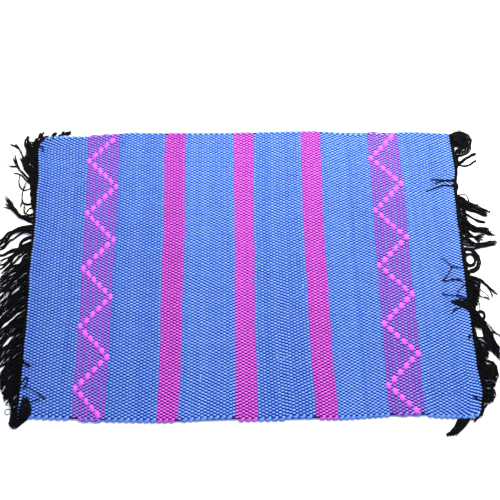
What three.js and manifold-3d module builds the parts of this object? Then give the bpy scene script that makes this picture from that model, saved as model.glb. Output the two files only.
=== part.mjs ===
import * as THREE from "three";
import { mergeVertices } from "three/addons/utils/BufferGeometryUtils.js";
import Module from "manifold-3d";

// A flat-woven cotton rug lying on a floor, in millimetres.
// X runs along the rug from one fringed end to the other, Y across it, Z up from the floor.
// The origin is the middle of the underside.

const leftEnd = -450;
const rightEnd = 447;
const halfWidth = 300;
const clothThickness = 5;
const edgeHeight = 3.4; // the cloth is rounded down to this at its edges
const edgeRounding = 3; // width of that rounding
const turnBulge = 1.4; // how far a turn of the weft stands out from a long edge
const pieceGap = 0.3; // between the cloth and each heading
const endStation = 20; // spacing of the points along the two fringed ends

const floatStep = 12; // from one float of a zigzag to the next, across the rug
const rowStep = floatStep / 2; // spacing of the points across the rug in a zigzag stripe
const rowMargin = 4.5; // and their distance from a long edge
const floatHeight = 2;
const floatShoulder = 0.6; // height of a float's two ends, over that of its middle
const floatLean = 1.7; // sideways shift of a float's two ends, along its zigzag
const firstFloat = 286.4; // the float nearest the far long edge
const firstFloatPick = 8;
const levelWithin = 1e-6; // points this near in Y are level with each other

// The stripes of weft, from left to right: their widths at the far long edge, in the middle and at the near one.
const stripes = [
  { weft: "blue", picks: 16, far: 102.5, middle: 108.2, near: 108.5 },
  { weft: "zigzag", picks: 11, far: 68, middle: 63.3, near: 62.5 },
  { weft: "blue", picks: 16, far: 99.5, middle: 101, near: 101 },
  { weft: "pink", picks: 7, far: 44, middle: 44, near: 40.5 },
  { weft: "blue", picks: 18, far: 106.5, middle: 105.8, near: 109.5 },
  { weft: "pink", picks: 7, far: 44, middle: 39.7, near: 43 },
  { weft: "blue", picks: 17, far: 103, middle: 106.5, near: 112 },
  { weft: "pink", picks: 7, far: 43.5, middle: 42, near: 43 },
  { weft: "blue", picks: 18, far: 104.5, middle: 106, near: 98.5 },
  { weft: "zigzag", picks: 11, far: 65.5, middle: 68, near: 67.5 },
  { weft: "blue", picks: 19, far: 116, middle: 112.5, near: 111 },
];

// How far each edge strays outwards from a true rectangle, at points along it.
const farEdge = [
  { at: -450, out: -5 },
  { at: -420, out: -2 },
  { at: -360, out: -4 },
  { at: -320, out: 0 },
  { at: -255, out: 4.5 },
  { at: -180, out: 3 },
  { at: -60, out: 2 },
  { at: 140, out: 4 },
  { at: 240, out: -3 },
  { at: 280, out: 1 },
  { at: 302, out: -3 },
  { at: 350, out: 0 },
  { at: 447, out: -4 },
];
const nearEdge = [
  { at: -450, out: -6 },
  { at: -350, out: -2 },
  { at: -300, out: 2 },
  { at: -160, out: 5 },
  { at: -40, out: 0 },
  { at: -15, out: 4.5 },
  { at: 60, out: 4 },
  { at: 85, out: 0 },
  { at: 160, out: 3.5 },
  { at: 320, out: -3 },
  { at: 370, out: 2.5 },
  { at: 420, out: 4.5 },
  { at: 447, out: -5 },
];
const leftEdge = [
  { at: -300, out: -3 },
  { at: -170, out: -4 },
  { at: -60, out: -2.5 },
  { at: -10, out: 0.5 },
  { at: 80, out: -2 },
  { at: 190, out: 1 },
  { at: 270, out: 6 },
  { at: 300, out: -1 },
];
const rightEdge = [
  { at: -300, out: -5 },
  { at: -288, out: 0 },
  { at: -250, out: 6 },
  { at: -200, out: 1 },
  { at: -60, out: -2.5 },
  { at: 110, out: -4 },
  { at: 170, out: -4 },
  { at: 210, out: 3 },
  { at: 300, out: -2 },
];

// The heading that ends the weaving: a row of twined warps beside each fringed end.
const headings = {
  left: { width: 4.5, height: 4.2, lump: 0.5 },
  right: { width: 8.5, height: 4.2, lump: 0.8 },
};

// Groups of warp ends on the floor, from the far long edge to the near one.
// Roots run along the heading from one place to the other; tips lie so far out, so far along.
// A lock leaves the heading squarely for the share "square" of its reach, then bends to its tip.
const leftFringe = [
  { from: 290, to: 281, locks: 3, outA: 9, tipA: 315, outB: 29, tipB: 306, square: 0.8, width: 4.5 },
  { from: 277, to: 265, locks: 3, outA: 62, tipA: 290, outB: 71, tipB: 276, square: 0.3, width: 5 },
  { from: 257, to: 243, locks: 3, outA: 56, tipA: 262, outB: 66, tipB: 248, square: 0.5, width: 5 },
  { from: 235, to: 213, locks: 4, outA: 66, tipA: 235, outB: 50, tipB: 207, square: 0.4, width: 5 },
  { from: 201, to: 136, locks: 6, outA: 42, tipA: 178, outB: 30, tipB: 132, square: 0.9, width: 2.2 },
  { from: 122, to: 104, locks: 4, outA: 74, tipA: 169, outB: 71, tipB: 136, square: 0.8, width: 4.5 },
  { from: 94, to: 77, locks: 3, outA: 70, tipA: 52, outB: 58, tipB: 44, square: 1.1, width: 5 },
  { from: 64, to: 44, locks: 4, outA: 62, tipA: 34, outB: 66, tipB: 4, square: 0.6, width: 4 },
  { from: 36, to: -36, locks: 11, outA: 76, tipA: -16, outB: 78, tipB: -92, square: 0.6, width: 5 },
  { from: -44, to: -104, locks: 9, outA: 74, tipA: -106, outB: 68, tipB: -164, square: 0.6, width: 5 },
  { from: -112, to: -184, locks: 11, outA: 62, tipA: -174, outB: 44, tipB: -228, square: 0.7, width: 5 },
  { from: -192, to: -232, locks: 6, outA: 36, tipA: -234, outB: 29, tipB: -268, square: 0.8, width: 5 },
  { from: -240, to: -290, locks: 7, outA: 25, tipA: -277, outB: 6, tipB: -311, square: 1, width: 5.5 },
];
const rightFringe = [
  { from: 221, to: 214, locks: 2, outA: 52, tipA: 249, outB: 52, tipB: 232, square: 0.7, width: 4 },
  { from: 152, to: 124, locks: 5, outA: 46, tipA: 134, outB: 55, tipB: 96, square: 0.25, width: 5 },
  { from: 117, to: 76, locks: 7, outA: 62, tipA: 88, outB: 72, tipB: 61, square: 0.4, width: 5 },
  { from: 69, to: 36, locks: 5, outA: 76, tipA: 55, outB: 60, tipB: 34, square: 0.5, width: 4.5 },
  { from: -20, to: -26, locks: 2, outA: 62, tipA: -63, outB: 50, tipB: -75, square: 0.5, width: 4 },
  { from: -34, to: -88, locks: 7, outA: 27, tipA: -50, outB: 12, tipB: -94, square: 0.9, width: 6 },
  { from: -96, to: -124, locks: 5, outA: 50, tipA: -143, outB: 47, tipB: -166, square: 0.6, width: 5 },
  { from: -132, to: -196, locks: 9, outA: 49, tipA: -176, outB: 40, tipB: -232, square: 0.7, width: 5.5 },
  { from: -204, to: -280, locks: 10, outA: 38, tipA: -240, outB: 8, tipB: -290, square: 0.8, width: 5.5 },
];

// Locks that turn round in an arc beside the heading, angles in degrees from +X.
const rightCurls = [
  { x: 468, y: 278, radius: 20, start: 140, sweep: -228, width: 10, height: 9 },
  { x: 463, y: 278, radius: 8, start: 175, sweep: -265, width: 8, height: 8 },
  { x: 453, y: 10, radius: 24, start: 105, sweep: -210, width: 5.5, height: 4 },
  { x: 453, y: 10, radius: 14, start: 110, sweep: -220, width: 4, height: 3 },
];

// Locks that pass round a corner and lie along the long edge, outside the cloth.
const leftTucks = [{ root: 296, cornerY: 309, tipX: -389, tipY: 307, width: 8 }];
const rightTucks = [{ root: -291, cornerY: -311, tipX: 372, tipY: -336, width: 9 }];

// Locks folded back over the cloth: where they root, where they end, how far they bow sideways.
const leftFolds = [
  { root: -282, tipX: -424, tipY: -252, bow: -7, width: 9, height: 5 },
  { root: -268, tipX: -404, tipY: -206, bow: -3, width: 2, height: 1.6 },
  { root: -196, tipX: -430, tipY: -203, bow: 0, width: 5, height: 3 },
];
const rightFolds = [
  { root: 186, tipX: 387, tipY: 188, bow: 3, width: 2, height: 1.5 },
  { root: 172, tipX: 389, tipY: 178, bow: -3, width: 2, height: 1.5 },
  { root: 6, tipX: 398, tipY: -8, bow: 3, width: 2, height: 1.5 },
  { root: -34, tipX: 395, tipY: -47, bow: -3, width: 2, height: 1.5 },
  { root: -82, tipX: 413, tipY: -80, bow: 0, width: 12, height: 5 },
  { root: -268, tipX: 434, tipY: -262, bow: 0, width: 3, height: 2 },
];

const lockStations = 6; // cross sections along a lock
const curlStations = 11;
const lockFlatness = 0.62; // a lock's height over its width
const lockTip = 0.35; // a lock's width at its tip, over that at its root
const rootDepth = 2.6; // how far a lock's root reaches into the heading
const headingRounding = 1.2; // how far a heading's top stays back from its outer foot
const tuckClearance = 2; // from the cloth's corner to a lock that passes round it
const foldRootDepth = 1; // how far inside the heading's outer foot, and how high, a folded lock starts
const foldRise = 1; // how far outside the cloth a folded lock has reached the height of its top

const wasm = await Module();
wasm.setup();

// The value of an edge table at a place, eased from one row to the next.
function strayAt(table, place) {
  const next = table.findIndex((row) => row.at > place);
  if (next === 0) return table[0].out;
  if (next < 0) return table[table.length - 1].out;
  const a = table[next - 1];
  const b = table[next];
  return THREE.MathUtils.lerp(a.out, b.out, THREE.MathUtils.smoothstep(place, a.at, b.at));
}

// A triangle list that grows into one closed surface.
class Surface {
  constructor() {
    this.numbers = [];
  }

  triangle(a, b, c) {
    for (const point of [a, b, c]) this.numbers.push(point.x, point.y, point.z);
  }

  quad(a, b, c, d) {
    this.triangle(a, b, c);
    this.triangle(a, c, d);
  }

  // Whether the left line's next point comes first. Of two that lie level, the one whose diagonal runs lower.
  leftIsNext(left, i, right, j) {
    const ahead = left[i + 1].y - right[j + 1].y;
    if (Math.abs(ahead) > levelWithin) return ahead < 0;
    return right[j].z + left[i + 1].z <= left[i].z + right[j + 1].z;
  }

  // Fills between two lines of points that both run towards +Y; "left" lies at the lower X.
  zip(left, right, facingUp) {
    let i = 0;
    let j = 0;
    while (i < left.length - 1 || j < right.length - 1) {
      const rightDone = j === right.length - 1;
      const leftDone = i === left.length - 1;
      const stepLeft = rightDone || (!leftDone && this.leftIsNext(left, i, right, j));
      const third = stepLeft ? left[i + 1] : right[j + 1];
      if (facingUp) this.triangle(left[i], right[j], third);
      else this.triangle(right[j], left[i], third);
      if (stepLeft) i += 1;
      else j += 1;
    }
  }

  geometry() {
    const loose = new THREE.BufferGeometry();
    loose.setAttribute("position", new THREE.Float32BufferAttribute(this.numbers, 3));
    return mergeVertices(loose, 1e-4);
  }
}

function solidFrom(geometry) {
  const vertProperties = geometry.attributes.position.array;
  const triVerts = new Uint32Array(geometry.index.array);
  return new wasm.Manifold(new wasm.Mesh({ numProp: 3, vertProperties, triVerts }));
}

function geometryFrom(solid) {
  const mesh = solid.getMesh();
  const geometry = new THREE.BufferGeometry();
  geometry.setAttribute("position", new THREE.BufferAttribute(mesh.vertProperties, 3));
  geometry.setIndex(new THREE.BufferAttribute(mesh.triVerts, 1));
  return geometry;
}

// The zigzag's floats: the pick that each lies on and how it leans, counted from the far edge.
function zigzagFloats(picks) {
  const turn = picks - 1; // the last pick of the stripe, where the zigzag turns back
  const pickOf = (step) => {
    const along = THREE.MathUtils.euclideanModulo(firstFloatPick - 2 * step, 2 * turn);
    return along <= turn ? along : 2 * turn - along;
  };
  const count = Math.floor((firstFloat + halfWidth) / floatStep) + 1;
  return Array.from({ length: count }, (_, step) => ({
    pick: pickOf(step),
    y: firstFloat - step * floatStep,
    lean: (pickOf(step - 1) - pickOf(step + 1)) / 4,
  }));
}

// A column of the cloth: the line across the rug where one pick meets the next.
// "at" gives its X at the far long edge, in the middle and at the near one, and it bows evenly between them.
// Its top points run from the near edge to the far one, its bottom ones lie under the first and last.
function columnAt(at, farTurn, nearTurn) {
  const farY = halfWidth + strayAt(farEdge, at.far) + farTurn * turnBulge;
  const nearY = -halfWidth - strayAt(nearEdge, at.near) - nearTurn * turnBulge;
  const onLine = (y, z) => {
    const place = y / halfWidth;
    const slant = (at.far - at.near) / 2;
    const bow = (at.far + at.near) / 2 - at.middle;
    return new THREE.Vector3(at.middle + slant * place + bow * place * place, y, z);
  };
  return {
    onLine,
    nearY,
    farY,
    top: [
      onLine(nearY, edgeHeight),
      onLine(nearY + edgeRounding, clothThickness),
      onLine(farY - edgeRounding, clothThickness),
      onLine(farY, edgeHeight),
    ],
    bottom: [onLine(nearY, 0), onLine(farY, 0)],
  };
}

// The same column inside a zigzag stripe, with a point every half float and its own floats raised.
function raisedColumn(column, floats) {
  const rows = [];
  for (let y = firstFloat + floatStep; y > -halfWidth - floatStep; y -= rowStep) rows.push(y);
  const inside = rows
    .filter((y) => y > column.nearY + rowMargin && y < column.farY - rowMargin)
    .map((y) => {
      const point = column.onLine(y, clothThickness);
      for (const float of floats) {
        const end = Math.round((y - float.y) / rowStep); // 0 at the middle of the float, -1 or 1 at its ends
        if (Math.abs(end) > 1) continue;
        point.z += floatHeight * (end === 0 ? 1 : floatShoulder);
        point.x += end * float.lean * floatLean;
      }
      return point;
    });
  const [near, nearTop, farTop, far] = column.top;
  return { ...column, top: [near, nearTop, ...inside.reverse(), farTop, far] };
}

// The column next to a fringed end, with a point beside each of that end's own points.
function dividedColumn(column, line) {
  const [near, nearTop, farTop, far] = column.top;
  const inner = line.slice(1, -1).map((point) => point.y);
  return {
    ...column,
    top: [near, nearTop, ...inner.map((y) => column.onLine(y, clothThickness)), farTop, far],
    bottom: [column.bottom[0], ...inner.map((y) => column.onLine(y, 0)), column.bottom[1]],
  };
}

// A fringed end of the cloth, as points on the floor from the near edge to the far one.
function endLine(endX, table, sign, nearY, farY) {
  const steps = Math.round((farY - nearY) / endStation);
  return Array.from({ length: steps + 1 }, (_, i) => {
    const y = THREE.MathUtils.lerp(nearY, farY, i / steps);
    return new THREE.Vector3(endX + sign * strayAt(table, y), y, 0);
  });
}

function atHeight(points, z) {
  return points.map((point) => new THREE.Vector3(point.x, point.y, z));
}

const leftLine = endLine(
  leftEnd,
  leftEdge,
  -1,
  -halfWidth - strayAt(nearEdge, leftEnd),
  halfWidth + strayAt(farEdge, leftEnd),
);
const rightLine = endLine(
  rightEnd,
  rightEdge,
  1,
  -halfWidth - strayAt(nearEdge, rightEnd),
  halfWidth + strayAt(farEdge, rightEnd),
);

// The columns of the cloth from its left end to its right one.
// A plain stripe has one where two picks meet, and the weft turns there at one long edge or the other.
// A zigzag stripe has one on each pick, and its blue picks turn outside the pink ones.
function clothColumns() {
  const columns = [{ top: atHeight(leftLine, edgeHeight), bottom: leftLine }];
  const start = { far: leftEnd, middle: leftEnd, near: leftEnd };
  let picksBefore = 0;
  for (const stripe of stripes) {
    const columnOf = (place, farTurn, nearTurn) => {
      const share = place / stripe.picks;
      const at = {};
      for (const row of ["far", "middle", "near"]) at[row] = start[row] + share * stripe[row];
      return columnAt(at, farTurn, nearTurn);
    };
    if (stripe.weft === "zigzag") {
      const floats = zigzagFloats(stripe.picks);
      columns.push(raisedColumn(columnOf(0, 0, 0), []));
      for (let pick = 0; pick < stripe.picks; pick += 1) {
        const turn = pick % 2;
        const own = floats.filter((float) => float.pick === pick);
        columns.push(raisedColumn(columnOf(pick + 0.5, turn, turn), own));
      }
      columns.push(raisedColumn(columnOf(stripe.picks, 0, 0), []));
    } else {
      for (let place = 1; place < stripe.picks; place += 1) {
        const turn = (picksBefore + place) % 2;
        columns.push(columnOf(place, turn, 1 - turn));
      }
    }
    for (const row of ["far", "middle", "near"]) start[row] += stripe[row];
    picksBefore += stripe.picks;
  }
  columns[1] = dividedColumn(columns[1], leftLine);
  columns.push(dividedColumn(columns.pop(), rightLine));
  columns.push({ top: atHeight(rightLine, edgeHeight), bottom: rightLine });
  return columns;
}

function clothGeometry() {
  const surface = new Surface();
  const columns = clothColumns();
  for (let i = 0; i < columns.length - 1; i += 1) {
    const a = columns[i];
    const b = columns[i + 1];
    surface.zip(a.top, b.top, true);
    surface.zip(a.bottom, b.bottom, false);
    surface.quad(a.bottom[0], b.bottom[0], b.top[0], a.top[0]);
    surface.quad(b.bottom.at(-1), a.bottom.at(-1), a.top.at(-1), b.top.at(-1));
  }
  const left = columns[0];
  const right = columns.at(-1);
  for (let i = 0; i < left.bottom.length - 1; i += 1) {
    surface.quad(left.bottom[i + 1], left.bottom[i], left.top[i], left.top[i + 1]);
  }
  for (let i = 0; i < right.bottom.length - 1; i += 1) {
    surface.quad(right.bottom[i], right.bottom[i + 1], right.top[i + 1], right.top[i]);
  }
  return surface.geometry();
}

// A closed tube through rings of corners. Seen from the tube's start, a ring's corners run clockwise.
function ringTube(rings) {
  const surface = new Surface();
  const corners = rings[0].length;
  for (let i = 0; i < rings.length - 1; i += 1) {
    for (let c = 0; c < corners; c += 1) {
      const d = (c + 1) % corners;
      surface.quad(rings[i][c], rings[i][d], rings[i + 1][d], rings[i + 1][c]);
    }
  }
  const first = rings[0];
  const last = rings.at(-1);
  for (let c = 1; c < corners - 1; c += 1) {
    surface.triangle(first[0], first[c + 1], first[c]);
    surface.triangle(last[0], last[c], last[c + 1]);
  }
  return surface.geometry();
}

// A lock of warp ends: a three-sided taper whose flat side follows the given line.
function lockSolid(line, width, height) {
  const rings = line.map((point, i) => {
    const before = line[Math.max(i - 1, 0)];
    const after = line[Math.min(i + 1, line.length - 1)];
    const side = new THREE.Vector3(before.y - after.y, after.x - before.x, 0).normalize();
    const taper = THREE.MathUtils.lerp(1, lockTip, i / (line.length - 1));
    const half = (width * taper) / 2;
    return [
      point.clone().addScaledVector(side, -half),
      point.clone().addScaledVector(side, half),
      new THREE.Vector3(point.x, point.y, point.z + height * taper),
    ];
  });
  return solidFrom(ringTube(rings));
}

// Where a fringed end lies at a place across the rug.
function edgeX(line, y) {
  const passed = line.filter((point) => point.y <= y).length;
  const next = THREE.MathUtils.clamp(passed, 1, line.length - 1);
  const a = line[next - 1];
  const b = line[next];
  const share = THREE.MathUtils.clamp((y - a.y) / (b.y - a.y), 0, 1);
  return THREE.MathUtils.lerp(a.x, b.x, share);
}

// One fringe: the heading beside its end of the cloth, and every lock that roots in it.
function fringeGeometry(line, sign, heading, groups, curls, tucks, folds) {
  const outFrom = (y, distance) => edgeX(line, y) + sign * distance;
  const rings = line.map((point, i) => {
    const inner = point.x + sign * pieceGap;
    const outer = inner + sign * (heading.width + (i % 2 ? heading.lump : -heading.lump));
    const corners = [
      new THREE.Vector3(inner, point.y, 0),
      new THREE.Vector3(inner, point.y, heading.height),
      new THREE.Vector3(outer - sign * headingRounding, point.y, heading.height),
      new THREE.Vector3(outer, point.y, 0),
    ];
    return sign > 0 ? corners : corners.reverse();
  });
  const solids = [solidFrom(ringTube(rings))];
  const rootOut = heading.width - rootDepth;

  for (const group of groups) {
    for (let i = 0; i < group.locks; i += 1) {
      const share = i / (group.locks - 1);
      const rootY = THREE.MathUtils.lerp(group.from, group.to, share);
      const reach = THREE.MathUtils.lerp(group.outA, group.outB, share);
      const tipY = THREE.MathUtils.lerp(group.tipA, group.tipB, share);
      const root = new THREE.Vector3(outFrom(rootY, rootOut), rootY, 0);
      const tip = new THREE.Vector3(outFrom(0, reach), tipY, 0);
      const bend = root.clone().setX(THREE.MathUtils.lerp(root.x, tip.x, group.square));
      const path = new THREE.QuadraticBezierCurve3(root, bend, tip);
      const points = path.getPoints(lockStations - 1);
      solids.push(lockSolid(points, group.width, group.width * lockFlatness));
    }
  }
  for (const curl of curls) {
    const points = Array.from({ length: curlStations }, (_, i) => {
      const turned = (curl.sweep * i) / (curlStations - 1);
      const angle = THREE.MathUtils.degToRad(curl.start + turned);
      const x = curl.x + curl.radius * Math.cos(angle);
      const y = curl.y + curl.radius * Math.sin(angle);
      return new THREE.Vector3(x, y, 0);
    });
    solids.push(lockSolid(points, curl.width, curl.height));
  }
  for (const tuck of tucks) {
    const root = new THREE.Vector3(outFrom(tuck.root, tuck.width / 2 + tuckClearance), tuck.root, 0);
    const corner = new THREE.Vector3(root.x, tuck.cornerY, 0);
    const tip = new THREE.Vector3(tuck.tipX, tuck.tipY, 0);
    const points = new THREE.QuadraticBezierCurve3(root, corner, tip).getPoints(lockStations);
    solids.push(lockSolid(points, tuck.width, tuck.width * lockFlatness));
  }
  for (const fold of folds) {
    const over = clothThickness + pieceGap;
    const insideX = outFrom(fold.root, heading.width - foldRootDepth);
    const inside = new THREE.Vector3(insideX, fold.root, foldRootDepth);
    const above = new THREE.Vector3(outFrom(fold.root, foldRise), fold.root, over);
    const tip = new THREE.Vector3(fold.tipX, fold.tipY, over);
    const bend = above.clone().lerp(tip, 0.5);
    bend.y += fold.bow;
    const across = new THREE.QuadraticBezierCurve3(above, bend, tip).getPoints(lockStations - 2);
    solids.push(lockSolid([inside, ...across], fold.width, fold.height));
  }
  return geometryFrom(solids.reduce((whole, solid) => whole.add(solid)));
}

function addPiece(whole, name, geometry, color) {
  const material = new THREE.MeshStandardMaterial({ color, roughness: 0.92, metalness: 0 });
  const mesh = new THREE.Mesh(geometry, material);
  mesh.name = name;
  whole.add(mesh);
}

const rug = new THREE.Group();
addPiece(rug, "cloth", clothGeometry(), "#6c9bf2");
addPiece(
  rug,
  "fringe_left",
  fringeGeometry(leftLine, -1, headings.left, leftFringe, [], leftTucks, leftFolds),
  "#15151c",
);
addPiece(
  rug,
  "fringe_right",
  fringeGeometry(rightLine, 1, headings.right, rightFringe, rightCurls, rightTucks, rightFolds),
  "#15151c",
);

export default rug;
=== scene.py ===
import bpy
import numpy as np
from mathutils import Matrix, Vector


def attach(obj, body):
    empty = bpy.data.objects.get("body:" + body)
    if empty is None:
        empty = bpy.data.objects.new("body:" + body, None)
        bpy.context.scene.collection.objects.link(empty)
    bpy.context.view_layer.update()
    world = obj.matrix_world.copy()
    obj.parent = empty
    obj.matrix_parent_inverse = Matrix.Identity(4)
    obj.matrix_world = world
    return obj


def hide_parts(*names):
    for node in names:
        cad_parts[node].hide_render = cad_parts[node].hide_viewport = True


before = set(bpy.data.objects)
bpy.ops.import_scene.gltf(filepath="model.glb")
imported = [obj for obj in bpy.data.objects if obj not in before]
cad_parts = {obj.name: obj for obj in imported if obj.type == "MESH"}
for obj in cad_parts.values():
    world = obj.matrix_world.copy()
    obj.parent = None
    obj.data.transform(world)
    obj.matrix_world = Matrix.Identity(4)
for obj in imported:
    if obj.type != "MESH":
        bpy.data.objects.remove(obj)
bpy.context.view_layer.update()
bpy.ops.object.select_all(action="DESELECT")
scene = bpy.context.scene
chance = np.random.default_rng(31)  # one seed, so each run gives the same rug
mm = 0.001  # sizes below are in millimetres and become metres when a mesh is made

# A flat-woven cotton rug: black warps run along X to a fringe at each end,
# and thick rag wefts run along Y and turn at the two long edges.


# Adds a node with its settings, its socket values and its links.
def addNode(material, kind, sockets, **settings):
    node = material.node_tree.nodes.new(kind)
    for name, value in settings.items():
        setattr(node, name, value)
    for name, value in sockets.items():
        if isinstance(value, bpy.types.NodeSocket):
            material.node_tree.links.new(value, node.inputs[name])
        else:
            node.inputs[name].default_value = value
    return node


def newMaterial(name):
    material = bpy.data.materials.new(name)
    material.use_nodes = True
    material.node_tree.nodes.clear()
    return material


# An sRGB hex value as the linear colour that a socket takes.
def linearColor(hexValue):
    parts = [int(hexValue[i : i + 2], 16) / 255 for i in (1, 3, 5)]
    linear = [p / 12.92 if p <= 0.04045 else ((p + 0.055) / 1.055) ** 2.4 for p in parts]
    return (*linear, 1.0)


# The value of an edge table at a place, eased from one row to the next.
def strayAt(table, place):
    at, out = np.array(table, float).T
    row = np.clip(np.searchsorted(at, place, side="right") - 1, 0, len(at) - 2)
    share = np.clip((place - at[row]) / (at[row + 1] - at[row]), 0, 1)
    eased = share * share * (3 - 2 * share)
    return out[row] + (out[row + 1] - out[row]) * eased


# Points along a smooth line through a few chosen places, or along a first share of it.
def smoothLine(places, steps, share=1.0):
    spots = np.array(places, float)
    spots = np.vstack([2 * spots[0] - spots[1], spots, 2 * spots[-1] - spots[-2]])
    t = np.linspace(0, (len(places) - 1) * share, steps)
    i = np.minimum(t.astype(int), len(places) - 2)
    u = (t - i)[:, None]
    a, b, c, d = spots[i], spots[i + 1], spots[i + 2], spots[i + 3]
    curve = 2 * b + (c - a) * u + (2 * a - 5 * b + 4 * c - d) * u**2 + (3 * b - a - 3 * c + d) * u**3
    return curve / 2


# Many yarns that become one mesh. Each is a closed tube of rings along a line in millimetres.
class Yarns:
    def __init__(self, corners, twist):
        self.corners = corners
        self.twist = twist  # turns of the fibres in each millimetre of yarn
        self.count = 0
        self.points, self.faces, self.caps = [], [], []
        self.places, self.tones = [], []

    def add(self, line, halfWidth, halfHeight, tone, upright=False):
        line = np.asarray(line, float)
        rings, corners = len(line), self.corners
        ahead = np.gradient(line, axis=0)
        ahead /= np.linalg.norm(ahead, axis=1, keepdims=True)
        side = np.stack([ahead[:, 1], -ahead[:, 0], np.zeros(rings)], axis=1)
        side /= np.maximum(np.linalg.norm(side, axis=1, keepdims=True), 1e-9)
        up = np.tile([0.0, 0.0, 1.0], (rings, 1)) if upright else np.cross(side, ahead)
        angle = np.arange(corners) * 2 * np.pi / corners
        wide = np.broadcast_to(halfWidth, rings)[:, None] * np.cos(angle)
        high = np.broadcast_to(halfHeight, rings)[:, None] * np.sin(angle)
        points = line[:, None] + side[:, None] * wide[:, :, None] + up[:, None] * high[:, :, None]
        steps = np.linalg.norm(np.diff(line, axis=0), axis=1)
        along = np.concatenate([[0], np.cumsum(steps)])[:, None]
        turned = angle + along * self.twist * 2 * np.pi
        radius = (np.mean(halfWidth) + np.mean(halfHeight)) / 2
        shift = self.count % 977  # so no two yarns have the same folds
        place = [radius * np.cos(turned), radius * np.sin(turned), along + shift + 0 * turned]
        first = self.count + np.arange(rings - 1)[:, None] * corners
        corner = np.arange(corners)
        after = (corner + 1) % corners
        quads = [first + corner, first + corners + corner, first + corners + after, first + after]
        self.points.append(points.reshape(-1, 3))
        self.faces.append(np.stack(quads, axis=-1).reshape(-1, 4))
        self.caps.append(self.count + corner)
        self.caps.append(self.count + (rings - 1) * corners + corner[::-1])
        self.places.append(np.stack(place, axis=-1).reshape(-1, 3))
        self.tones.append(np.repeat(np.broadcast_to(tone, rings), corners))
        self.count += rings * corners

    def build(self, name, material):
        points = np.concatenate(self.points) * mm
        quads, caps = np.concatenate(self.faces), np.array(self.caps)
        loops = np.concatenate([quads.ravel(), caps.ravel()])
        capStarts = quads.size + np.arange(len(caps)) * self.corners
        starts = np.concatenate([np.arange(len(quads)) * 4, capStarts])
        mesh = bpy.data.meshes.new(name)
        mesh.vertices.add(len(points))
        mesh.vertices.foreach_set("co", points.ravel())
        mesh.loops.add(len(loops))
        mesh.loops.foreach_set("vertex_index", loops.astype(np.int32))
        mesh.polygons.add(len(starts))
        mesh.polygons.foreach_set("loop_start", starts.astype(np.int32))
        mesh.polygons.foreach_set("use_smooth", np.ones(len(starts), bool))
        place = mesh.attributes.new("fibrePlace", "FLOAT_VECTOR", "POINT")
        place.data.foreach_set("vector", (np.concatenate(self.places) * mm).ravel())
        tone = mesh.attributes.new("yarnTone", "FLOAT", "POINT")
        tone.data.foreach_set("value", np.concatenate(self.tones))
        mesh.update(calc_edges=True)
        mesh.materials.append(material)
        piece = bpy.data.objects.new(name, mesh)
        scene.collection.objects.link(piece)
        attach(piece, "root")
        pieces.append(piece)
        triangles = len(quads) * 2 + len(caps) * (self.corners - 2)
        triangleCounts.append(triangles)
        print(name, triangles, "triangles")
        return piece


pieces = []
triangleCounts = []

# Camera, floor and light. Places and sizes here are in metres.
stage = {
    "cameraPlace": (-0.0002, -0.2756, 1.1243),  # above the rug, a little towards its near edge
    "cameraTurn": (0.2705, -0.0006, -0.0111),
    "lens": 40.32,
    "floorSize": 12.0,
    "floorColor": "#fafafa",
    "roomLight": 0.36,
    "lights": [
        {"name": "window", "place": (0.4, 1.0, 1.1), "aim": (0.1, 0.1, 0), "size": 0.9, "power": 54.5, "color": (1.0, 0.98, 0.83)},
        {"name": "ceiling", "place": (0.1, -0.1, 2.6), "aim": (0, 0, 0), "size": 2.4, "power": 5, "color": (1.0, 1.0, 1.0)},
        {"name": "sky", "place": (-0.3, -1.5, 1.8), "aim": (0, 0, 0), "size": 2.6, "power": 18, "color": (0.1, 0.32, 1.0)},
    ],
}
cameraData = bpy.data.cameras.new("camera")
cameraData.lens = stage["lens"]
cameraData.sensor_width = 36.0
camera = bpy.data.objects.new("camera", cameraData)
camera.location = stage["cameraPlace"]
camera.rotation_euler = stage["cameraTurn"]
scene.collection.objects.link(camera)
scene.camera = camera
scene.view_settings.view_transform = "Standard"

floorPaint = newMaterial("matteWhiteFloor")  # plain matte paint
paint = addNode(
    floorPaint,
    "ShaderNodeBsdfPrincipled",
    {"Base Color": linearColor(stage["floorColor"]), "Roughness": 0.9, "Specular IOR Level": 0.2},
)
addNode(floorPaint, "ShaderNodeOutputMaterial", {"Surface": paint.outputs["BSDF"]})
bpy.ops.mesh.primitive_plane_add(size=stage["floorSize"], location=(0, 0, 0))
floor = bpy.context.object
floor.name = "floor"
floor.data.materials.append(floorPaint)

world = bpy.data.worlds.new("softRoom")
world.use_nodes = True
world.node_tree.nodes["Background"].inputs["Color"].default_value = (1, 1, 1, 1)
world.node_tree.nodes["Background"].inputs["Strength"].default_value = stage["roomLight"]
scene.world = world
for row in stage["lights"]:
    lamp = bpy.data.lights.new(row["name"] + "Light", "AREA")
    lamp.size = row["size"]
    lamp.energy = row["power"]
    lamp.color = row["color"]
    light = bpy.data.objects.new(row["name"] + "Light", lamp)
    light.location = row["place"]
    aim = Vector(row["aim"]) - Vector(row["place"])
    light.rotation_euler = aim.to_track_quat("-Z", "Y").to_euler()
    scene.collection.objects.link(light)
print("camera, floor and light done")


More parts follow.
